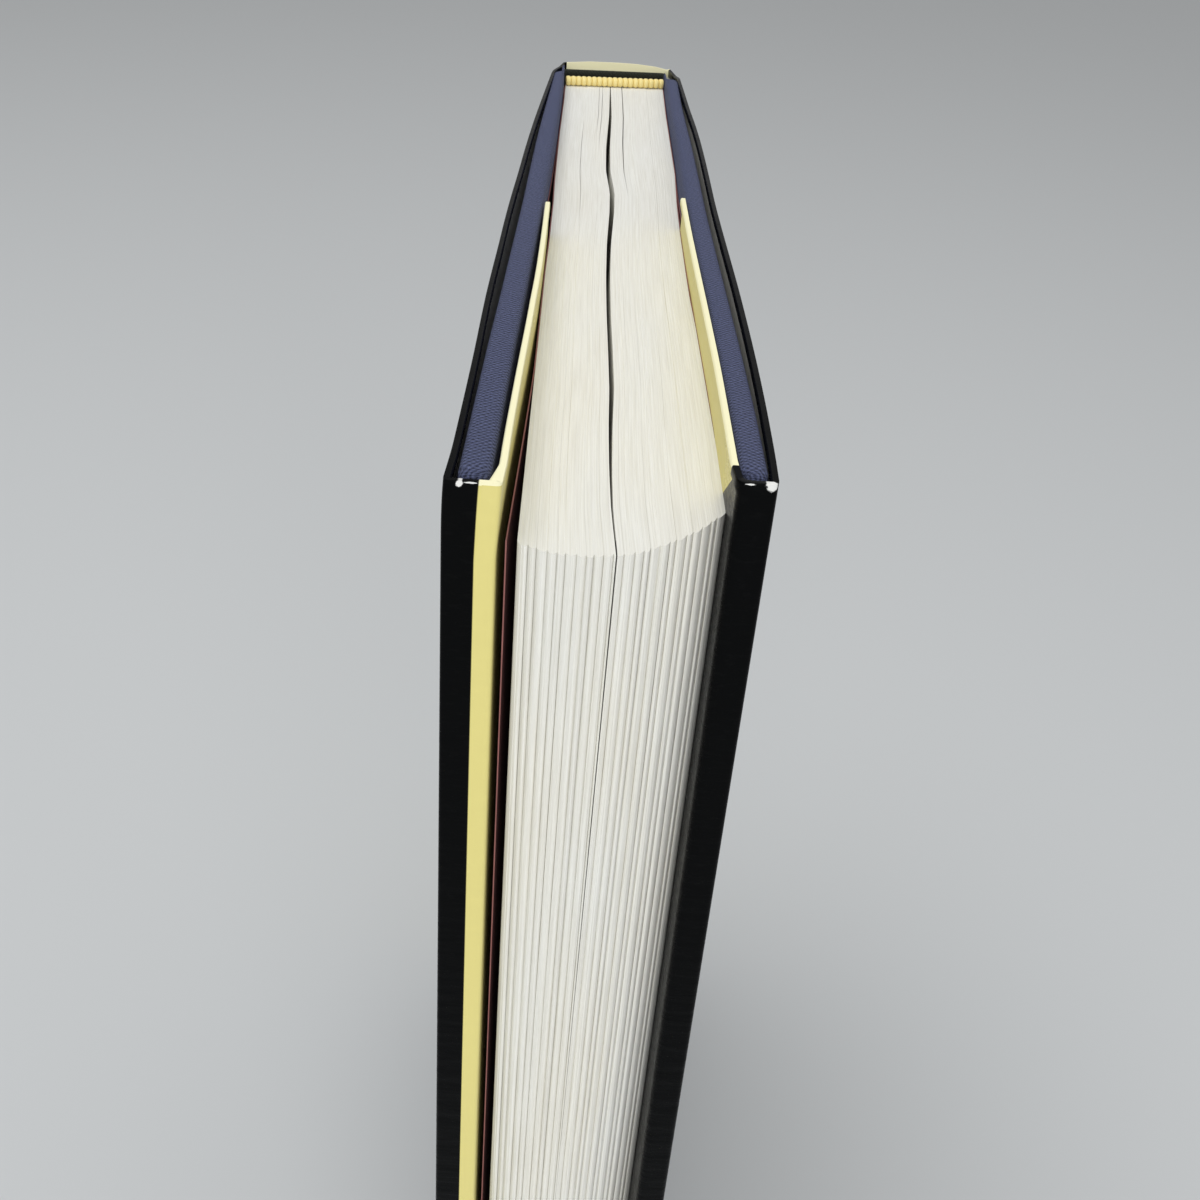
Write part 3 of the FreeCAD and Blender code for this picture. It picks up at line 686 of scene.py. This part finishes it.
def make_band(name, node, edge_level, outwards):
    """A beaded band on the leaves' edge: thread wound over a cord. The tape that carries it is
    hidden behind the spine lining, and isn't drawn."""
    per_bead = 10
    around = 14
    radius = 0.70
    tall = 0.80
    groove = 0.13
    from_spine = 0.45
    start = np.array([-HALF_TEXT, -HALF_TEXT * SLANT])
    end = -start
    share = np.linspace(0, 1, BAND_BEADS * per_bead + 1)
    bulge = radius - groove * (1 - np.abs(np.sin(np.pi * share * BAND_BEADS)) ** 0.8)
    bulge[[0, -1]] = 0.02
    across = np.array([-SLANT, 1.0]) / math.hypot(1, SLANT)
    angle = np.linspace(0, 2 * math.pi, around + 1)[:-1]
    centre = start + np.outer(share, end - start) - across * from_spine
    ring_y = np.outer(bulge, np.cos(angle))
    ring_z = np.outer(bulge, np.sin(angle)) * tall / radius
    plan = centre[:, None, :] + ring_y[..., None] * across
    height = edge_level + outwards * tall + ring_z
    verts = np.concatenate([plan, height[..., None]], axis=-1)
    index = np.arange(verts.shape[0] * around).reshape(-1, around)
    wrapped = np.concatenate([index, index[:, :1]], axis=1)
    faces = [tuple(f) for f in grid_faces(wrapped)]
    faces += [tuple(index[0]), tuple(index[-1][::-1])]
    uv = np.stack(np.broadcast_arrays(share[:, None] * BAND_LENGTH, angle[None, :] * radius),
                  axis=-1)
    band = add_mesh(name, on_text(verts.reshape(-1, 3)), faces, uv.reshape(-1, 2),
                    np.zeros(len(faces)), [MAT["silk"]], sharp=1.2)
    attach(band, "book_block")
    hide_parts(node)


# ---------------------------------------------------------------- endpapers

def upright_sheet(name, face, thickness, levels, slots, materials, swell=None):
    """A sheet that stands on a plan path; it has its thickness to the left of the path, and a
    negative one to the right. swell is what is added to that on the path's side and on the other,
    at each point and level."""
    normals = left_normals(face)
    along = run_length(face)
    grid = np.zeros((len(face), len(levels), 3))
    grid[..., :2] = face[:, None, :]
    grid[..., 2] = levels
    other = grid.copy()
    other[..., :2] += thickness * normals[:, None, :]
    if swell is not None:
        grid[..., :2] -= np.sign(thickness) * swell[0][..., None] * normals[:, None, :]
        other[..., :2] += np.sign(thickness) * swell[1][..., None] * normals[:, None, :]
    uv = np.stack(np.broadcast_arrays(along[:, None], levels[None, :]), axis=-1)
    return shell(name, grid, other, uv, slots, materials)


def make_flyleaf(name, side):
    """The free leaf: flat on the pages, and in front curled away from them at the fore-edge."""
    lift = 0.8 if side < 0 else 0.0
    reach = 33.0
    thickness = 0.11
    off_pages = 0.02
    x = side * HALF_TEXT
    fore = fore_edge_line(x)
    y = np.linspace(x * SLANT, fore, 60)
    curl = lift * np.clip((reach - (y - fore)) / reach, 0, 1) ** 1.15
    waist = side_waist(side, (x * SLANT - y) / (x * SLANT - fore))
    face = np.stack([x + side * (off_pages + curl - waist), y], axis=-1)
    leaf = upright_sheet(name, face, side * thickness, np.linspace(0.0, TRIM_HEIGHT, 41),
                         (0, 0, 1), [MAT["endpaper"], MAT["endpaper_edge"]])
    verts = np.array([v.co for v in leaf.data.vertices]) / MM
    moved = on_text(verts) * MM
    leaf.data.vertices.foreach_set("co", moved.astype(np.float32).ravel())
    leaf.data.update()
    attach(leaf, "book_block")
    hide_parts(f"{name.split('_')[0]}_flyleaf")


def blend_cover(piece):
    """Bakes the piece's placement into its mesh."""
    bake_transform(piece)


def make_pastedown(name, side):
    """The endpaper's glued half: from the gutter, through the joint, onto the board."""
    margin = SQUARE
    gutter = on_spine(side, HALF_TEXT + PAPER, -1.9)
    points = [gutter, on_cover(side, 0.0, 0.0), on_cover(side, 0.0, -JOINT)]
    points += along_cover(side, 0.0, COVER_DEPTH - margin)
    more = len(points) - 4
    face = rounded(points, [1.0, 1.0] + [4.0] * more, [3, 12, 5] + [4] * more, steps=3)
    levels = np.linspace(margin, CASE_HEIGHT - PASTEDOWN_DROP, 61)
    pasted = upright_sheet(name, face, side * PAPER * 0.95, levels, (0, 0, 1),
                           [MAT["endpaper"], MAT["endpaper_edge"]])
    blend_cover(pasted)
    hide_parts(f"{name.split('_')[0]}_pastedown")


# ---------------------------------------------------------------- cloth case

CLOTH_EDGE = 1.5  # how far from the case's edges the outer face's points begin
EDGE_RADIUS = 0.7  # of the cloth round the boards' head and tail edges
FORE_RADIUS = 0.95  # and round their fore-edge
CLOTH_CORNER = 1.2
CLOTH_SKIN = 0.14


def wrap_levels(thickness, radius):
    """Inset from the edge, depth from the outer face, and run along the cloth, for each row of
    points that goes from the outer face round the edge to the turn-in's end."""
    rows = [(CLOTH_EDGE, 0.0), (radius, 0.0)]
    arc = np.radians([30, 60, 90])
    rows += [(radius * (1 - math.sin(a)), radius * (1 - math.cos(a))) for a in arc]
    rows += [(0.0, thickness - radius)]
    rows += [(radius * (1 - math.cos(a)), thickness - radius + radius * math.sin(a)) for a in arc]
    rows += [(CLOTH_EDGE, thickness), (TURN_IN, thickness)]
    inset, depth = np.array(rows).T
    steps = np.hypot(np.diff(inset), np.diff(depth))
    return inset, depth, np.concatenate([[0.0], np.cumsum(steps)])


def cloth_path(side, across, offset, beside, on_board, past_joint, radii):
    """One face of the case's cloth in plan, from the spine's middle nearly to the fore-edge: along
    the spine at across and offset, past the text block at beside, and along the cover."""
    base = hinge(side)
    x = base.x + side * beside
    corners = [
        on_spine(side, 0.0, offset), on_spine(side, across, offset),
        np.array([x, base.y]), np.array([x, base.y - JOINT + 0.6]),
        on_cover(side, on_board, -JOINT - past_joint),
        *along_cover(side, on_board, COVER_DEPTH - CLOTH_EDGE),
    ]
    more = len(corners) - 6
    divisions = [6, 4, 6, 3] + [3] * (more + 1)
    return rounded(corners, radii + [4.0] * more, divisions, steps=3)


def cloth_rows(side, outer, inner, upright):
    """Rows of points along the tail, up the fore-edge and back along the head, one for each step
    of the wrap. Each point is x, y, z, and its place along and up the sheet."""
    thick = np.linalg.norm(inner - outer, axis=1)
    along = run_length(outer)
    stations = [wrap_levels(t, min(EDGE_RADIUS, t * 0.49)) for t in thick]
    turns = np.linspace(0, math.pi / 2, 7)[1:-1]
    rows = []
    for level, (inset, depth, run) in enumerate(zip(*wrap_levels(thick[-1], FORE_RADIUS))):
        lower = []
        for i, (insets, depths, runs) in enumerate(stations):
            toward = (inner[i] - outer[i]) / thick[i]
            plan = outer[i] + toward * depths[level]
            lower.append((*plan, insets[level], along[i], CLOTH_EDGE - runs[level]))
        corner = max(CLOTH_CORNER - inset, 0.0)
        for a in turns:
            from_hinge = COVER_DEPTH - inset - corner + corner * math.sin(a)
            plan = on_cover(side, BOARD_OUT - depth, -from_hinge)
            lower.append((*plan, inset + corner - corner * math.cos(a),
                          along[-1] + run * math.sin(a), CLOTH_EDGE - run * math.cos(a)))
        plan = on_cover(side, BOARD_OUT - depth, -(COVER_DEPTH - inset))
        levels = np.clip(upright, inset + corner, CASE_HEIGHT - inset - corner)
        middle = [(*plan, z, along[-1] + run, z) for z in levels]
        upper = np.array(lower[::-1])
        upper[:, [2, 4]] = CASE_HEIGHT - upper[:, [2, 4]]
        rows.append(np.concatenate([lower, middle, upper]))
    return np.array(rows)


def drop_cloth_head(verts, side):
    """The cloth's head lies lower at the spine, and at the back joint too."""
    at_spine = fade(verts[:, 1] - SLANT * verts[:, 0], -3.0, 2.2)
    beside = fade(verts[:, 1], -11.0, 7.0) if side > 0 else 0.0
    near_head = fade(verts[:, 2], CASE_HEIGHT - 30.0, 28.0)
    verts[:, 2] -= np.maximum(SPINE_DROP * at_spine, JOINT_DROP * beside) * near_head


def make_case_cloth(name, side):
    """Half of the case's cloth, from the spine's middle to a cover's fore-edge, with turn-ins."""
    outer = cloth_path(side, SPINE_HALF, SPINE_STACK, PAPER + CLOTH, BOARD_OUT, 0.1,
                       [0.7, 1.5, 0.8, 1.2])
    inner = cloth_path(side, SPINE_HALF - CLOTH, -SPINE_STACK, PAPER, PAPER, 0.4,
                       [0.5, 1.0, 0.3, 0.3])
    upright = np.linspace(CLOTH_EDGE, CASE_HEIGHT - CLOTH_EDGE, 41)
    wraps = cloth_rows(side, outer, inner, upright)
    face = np.zeros((len(outer), len(upright), 5))
    face[..., :2] = outer[:, None, :]
    face[..., 2] = upright
    face[..., 3] = run_length(outer)[:, None]
    face[..., 4] = upright
    wrap_count = wraps.shape[0] * wraps.shape[1]
    wrap_index = np.arange(wrap_count).reshape(wraps.shape[:2])
    face_index = wrap_count + np.arange(face.shape[0] * face.shape[1]).reshape(face.shape[:2])
    points = np.concatenate([wraps.reshape(-1, 5), face.reshape(-1, 5)])
    verts, uvs = points[:, :3], points[:, 3:]
    drop_cloth_head(verts, side)
    faces = np.concatenate([grid_faces(wrap_index), grid_faces(face_index)])
    piece = add_mesh(name, verts, faces, uvs, np.zeros(len(faces)), [MAT["cloth"]], sharp=1.0)
    solid = piece.modifiers.new("thickness", "SOLIDIFY")
    solid.thickness = CLOTH_SKIN * MM
    solid.offset = -1.0
    blend_cover(piece)
    return piece


def make_boards(label, side):
    """The board inside the cloth, and the gauze glued down on it, bent like the cover."""
    near = JOINT + 2 * CLOTH
    inset = 2 * CLOTH
    clearance = 0.1
    for node, out, within, far, foot, material in (
            (f"{label}_board", BOARD_OUT - CLOTH - clearance, PAPER + CLOTH, COVER_DEPTH - inset,
             inset, "board"),
            (f"{label}_gauze_flange", PAPER + CLOTH - clearance, 2 * PAPER, near + FLANGE_WIDTH,
             SQUARE + GAUZE_INSET, "gauze")):
        runs = np.linspace(near, far, 60)
        path = np.array([on_cover(side, out, -y) for y in runs])
        inner = np.array([on_cover(side, within, -y) for y in runs])
        thickness = -side * np.linalg.norm(path - inner, axis=1)[:, None, None]
        levels = np.linspace(foot, CASE_HEIGHT - foot, 9)
        piece = upright_sheet(f"{node}_bent", path, thickness, levels, (0, 0, 0), [MAT[material]])
        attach(piece, COVER_BODIES[side])
        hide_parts(node)


# ---------------------------------------------------------------- dust jacket

# For each side: half of the spine panel's width, and what is added to the stand-off at the joint;
# how far the panel and the flap stand off the board at each distance from the hinge; where the
# flap ends; the radii of the fold's outer and inner corner; what the doubled hem adds outwards and
# inwards at the spine, joint, panel, both corners of the fold, just behind the fold, and on the
# flap; where the black begins at the spine, and ends on the fold at the head and below it, being
# print up to its end at the head and painted shade where it reaches further below the head; and
# the worn places.
JACKET = {
    -1: {"shoulder": (9.0, 0.05),
         "panel": ([20, 28, 45, 67, 84, 99, 115, 129, 138, 151, 156],
                   [0.40, 0.50, 0.78, 1.00, 1.30, 1.14, 1.11, 0.80, 0.74, 0.72, 0.86]),
         "flap": ([80, 94, 108, 115, 123, 131, 138, 144, 151, 156],
                  [0.28, 0.56, 0.73, 0.71, 0.61, 0.51, 0.38, 0.30, 0.28, 0.29]), "flap_end": 81.5,
         "fold_radii": (0.5, 0.45),
         "hem_out": [0.0, 0.0, 0.0, 0.0, 0.0, 0.0, 0.12],
         "hem_in": [0.0, 0.10, 0.33, 0.33, 0.36, 0.80, 0.28],
         "black": (8.4, 2.52, 2.52),
         "bare": [(1.10, -0.24, 0.27, 0.30), (1.95, -0.11, 0.48, 0.075)]},
    1: {"shoulder": (9.9, 0.05),
        "panel": ([20, 41, 58, 87, 97, 116, 126, 134, 142, 149, 156],
                  [0.52, 1.00, 1.05, 1.00, 1.03, 1.03, 0.90, 0.76, 0.66, 0.56, 0.30]),
        "flap": ([79, 100, 156], [0.05, 0.05, 0.05]), "flap_end": 78.5,
        "fold_radii": (0.6, 0.9),
        "hem_out": [0.0, 0.0, 0.0, 0.0, 0.10, 0.20, 0.36],
        "hem_in": [0.0, 0.10, 0.33, 0.33, 0.50, 0.30, 0.0],
        # On the back fold the black is print up to 5.6 from the fold's start at the head; its
        # reach to 11.0 below the head is painted shade beside the leaves.
        "black": (10.4, 5.6, 11.0),
        "bare": [(0.35, -0.14, 0.50, 0.55), (2.10, -0.12, 0.40, 0.085)]},
}
# The head edge at the spine: place across, and how far it stands above the covers' head.
RIM_PLACES = [-12.0, -9.4, -8.3, -4.4, 0.85, 3.9, 7.2, 9.4, 10.4, 12.0]
RIM_RISES = [0.0, -0.35, -0.32, -0.05, -0.06, -0.15, -0.45, -0.90, -0.55, 0.0]


FILM_BLACK = (0.0022, 0.0024, 0.0026)
# The jacket's material numbers.
FILM, PRINT, CORE, PALE = range(4)
PALE_WIDTH = 0.3


def nearest_run(path, point):
    """How far along the path its nearest point to the given one lies."""
    return run_length(path)[np.argmin(np.linalg.norm(path - point, axis=1))]


def hem_levels():
    """Heights of the jacket's rows of points, and how far each lies from the nearer edge. They are
    close together in the hems, and closer near the head than elsewhere."""
    rounding = np.array([HEM, 1.2, 1.0, 0.8, 0.5, 0.25, 0.12, 0.05, 0.0])
    near_head = CASE_HEIGHT - 8.0
    levels = np.concatenate([
        JACKET_LIFT + rounding[::-1],
        np.linspace(JACKET_LIFT + HEM, near_head, 40)[1:],
        np.linspace(near_head, CASE_HEIGHT - HEM, 22)[1:],
        CASE_HEIGHT - rounding[1:],
    ])
    return levels, np.minimum(levels - JACKET_LIFT, CASE_HEIGHT - levels)


def jacket_path(side, spec):
    """The jacket's outer face in plan, and how far along it the spine panel ends and the fold
    starts and ends."""
    outside = BOARD_OUT + JACKET_PAPER
    spine_offset = SPINE_STACK + JACKET_SLACK + JACKET_PAPER
    half_spine, at_joint = spec["shoulder"]
    start = [on_spine(side, 0.0, spine_offset), on_spine(side, half_spine, spine_offset),
             on_cover(side, outside + at_joint, -JOINT - 0.6)]
    panel = [on_cover(side, outside + np.interp(y, *spec["panel"]), -y)
             for y in np.arange(20.0, 152.0, 10.0)]
    fold_y = -(COVER_DEPTH + 1.0 + JACKET_PAPER)
    fold = [on_cover(side, outside + spec["panel"][1][-1], fold_y),
            on_cover(side, -JACKET_PAPER - spec["flap"][1][-1], fold_y)]
    flap = [on_cover(side, -JACKET_PAPER - np.interp(y, *spec["flap"]), -y)
            for y in np.linspace(146.0, spec["flap_end"], 6)]
    radii = [0.5, 1.2] + [5.0] * len(panel) + list(spec["fold_radii"]) + [5.0] * (len(flap) - 1)
    divisions = [14, 8, 5] + [4] * len(panel) + [20, 26] + [5] * (len(flap) - 1)
    path = rounded(start + panel + fold + flap, radii, divisions, steps=6)
    return path, [nearest_run(path, point) for point in (start[1], *fold)]


def hem_swell(along, from_edge, spec, places):
    """What the doubled hem adds outwards and inwards at each point and level."""
    spine_end, fold_start, fold_end = places
    profile = np.interp(from_edge, [0.0, 0.05, 0.12, 0.25, 0.8, HEM],
                        [0.55, 0.75, 0.88, 1.0, 1.0, 0.0])
    runs = [spine_end - 2.0, spine_end + 1.0, spine_end + 14.0, fold_start, fold_end,
            fold_end + 0.8, fold_end + 3.4]
    return [np.interp(along, runs, spec[face])[:, None] * profile[None, :]
            for face in ("hem_out", "hem_in")]


def jacket_slots(along, levels, from_edge, black_from, black_to):
    """Material numbers of the jacket's outer faces, its inner faces and its rim."""
    mid_run = (along[:-1] + along[1:])[:, None] / 2
    mid_level = (levels[:-1] + levels[1:])[None, :] / 2
    mid_edge = (from_edge[:-1] + from_edge[1:])[None, :] / 2
    black_to = black_to + np.where(mid_level > CASE_HEIGHT - 6.0, 0.3, 0.0)
    outside = np.where((mid_run > black_from) & (mid_run < black_to), FILM, PRINT)
    # Near the head and tail edges the print takes the paler yellow: partly rubbed print, partly a
    # painted highlight on the head's edges.
    outside = np.where((mid_edge < PALE_WIDTH) & (outside == PRINT), PALE, outside)
    on_spine_panel = (mid_run < black_from) & (outside == PRINT)
    inside = np.where(mid_edge < HEM, np.where(on_spine_panel, PALE, outside), CORE)
    return outside, inside, outside[:, -1]


def make_jacket(name, side):
    """Half of the jacket: spine panel, cover panel, fold and flap, as one sheet with hems."""
    spec = JACKET[side]
    path, places = jacket_path(side, spec)
    along = run_length(path)
    levels, from_edge = hem_levels()
    fold_start = places[1]
    # below: where the black ends on the fold below the head; past the print's end at the head,
    # this black is painted shade.
    black_from, at_head, below = spec["black"]
    bare = [(fold_start + run, CASE_HEIGHT + up, a, b) for run, up, a, b in spec["bare"]]
    film = laminated(f"{name}_black", FILM_BLACK, worn=0.25, roughness=0.24, ripple=1.0,
                     specular=0.035, bare=bare, border=(fold_start + below, fold_start + at_head))
    slots = jacket_slots(along, levels, from_edge, black_from, fold_start + below)
    piece = upright_sheet(name, path, -side * JACKET_PAPER, levels, slots,
                          [film, MAT["yellow"], MAT["core"], MAT["yellow_edge"]],
                          swell=hem_swell(along, from_edge, spec, places))
    shape_head(piece, side)
    blend_cover(piece)
    return piece


def shape_head(piece, side):
    """The head edge is uneven at the spine: highest left of the middle, and falling to the back.
    In front, the fold's head leans towards the leaves."""
    outer_corner = -14.3
    fold_width = 4.2
    lean_outside = 0.16
    lean_inside = 0.33
    for vertex in piece.data.vertices:
        x, y, z = vertex.co / MM
        rise = np.interp(x, RIM_PLACES, RIM_RISES) * fade(y, -9.0, 4.0)
        vertex.co.z += rise * fade(z, CASE_HEIGHT - 8.0, 8.0) * MM
        if side < 0:
            share = fade(x, outer_corner, fold_width)
            at_outer = fade(z, CASE_HEIGHT - 6.0, 6.0) ** 3
            at_inner = fade(z, CASE_HEIGHT - 7.0, 7.0)
            lean = lean_outside * at_outer * (1 - share) + lean_inside * at_inner * share
            vertex.co.x += fade(-y, 120.0, 35.0) * lean * MM
    piece.data.update()


# ---------------------------------------------------------------- assembly

def dress_nodes():
    """The nodes that keep their own shape."""
    looks = {"spine_gauze": "gauze", "spine_lining": "lining", "spine_inlay": "card"}
    for node, material in looks.items():
        mesh = frame["nodes"][node].data
        mesh.materials.clear()
        mesh.materials.append(MAT[material])


make_text_block()
make_band("head_endband", "head_band", TRIM_HEIGHT, 1)
make_band("tail_endband", "tail_band", 0.0, -1)
for label, side in SIDES.items():
    make_flyleaf(f"{label}_free_leaf", side)
    make_pastedown(f"{label}_pasted_endpaper", side)
    cloth = make_case_cloth(f"{label}_case_cloth", side)
    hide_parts(f"{label}_cloth", "spine_cloth")
    make_boards(label, side)
    jacket = make_jacket(f"{label}_dust_jacket", side)
    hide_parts(f"{label}_jacket", "spine_jacket")
dress_nodes()


# ---------------------------------------------------------------- floor, light and camera

def make_floor():
    """A plain pale floor, 6 m square."""
    mesh = bpy.data.meshes.new("floor")
    half = 3.0
    corners = [(-half, -half, 0), (half, -half, 0), (half, half, 0), (-half, half, 0)]
    mesh.from_pydata(corners, [], [(0, 1, 2, 3)])
    floor = add_object("floor", mesh)
    shader = Shader("floor_plain", roughness=0.9)
    shader.bsdf.inputs["Base Color"].default_value = (0.62, 0.64, 0.65, 1.0)
    mesh.materials.append(shader.material)


def add_area(name, place, target, size, power):
    """A round soft lamp at a place, turned to a target, in metres and watts."""
    light = bpy.data.lights.new(name, "AREA")
    light.shape = "DISK"
    light.size = size
    light.energy = power
    lamp = add_object(name, light)
    lamp.location = place
    lamp.rotation_euler = (Vector(target) - Vector(place)).to_track_quat("-Z", "Y").to_euler()


def light_studio():
    """Even light from all around, a lamp above, and a weaker one in front."""
    world = bpy.data.worlds.new("studio")
    bpy.context.scene.world = world
    world.use_nodes = True
    background = world.node_tree.nodes["Background"]
    background.inputs["Color"].default_value = (1.0, 1.0, 1.0, 1.0)
    background.inputs["Strength"].default_value = 0.46
    add_area("key", (-0.28, -0.25, 1.38), (0, -0.08, 0.2), 1.1, 8.4)
    add_area("fill", (0.10, -1.35, 0.55), (0, -0.08, 0.15), 0.9, 7.6)


def set_camera():
    """The photo's view, as fitted to the book's edges."""
    data = bpy.data.cameras.new("camera")
    data.sensor_width = 36.0
    data.lens = 40.124
    data.clip_start = 0.01
    place = Vector((-5.599, -249.813, 282.562)) * MM
    camera = add_object("camera", data)
    right = Vector((0.997501, 0.001676, 0.070633)).normalized()
    up = Vector((-0.060325, 0.540626, 0.839098)).normalized()
    back = right.cross(up)
    rotation = Matrix((right, up, back)).transposed().to_4x4()
    camera.matrix_world = Matrix.Translation(place) @ rotation
    bpy.context.scene.camera = camera


make_floor()
light_studio()
set_camera()
bpy.context.scene.view_settings.view_transform = "Standard"
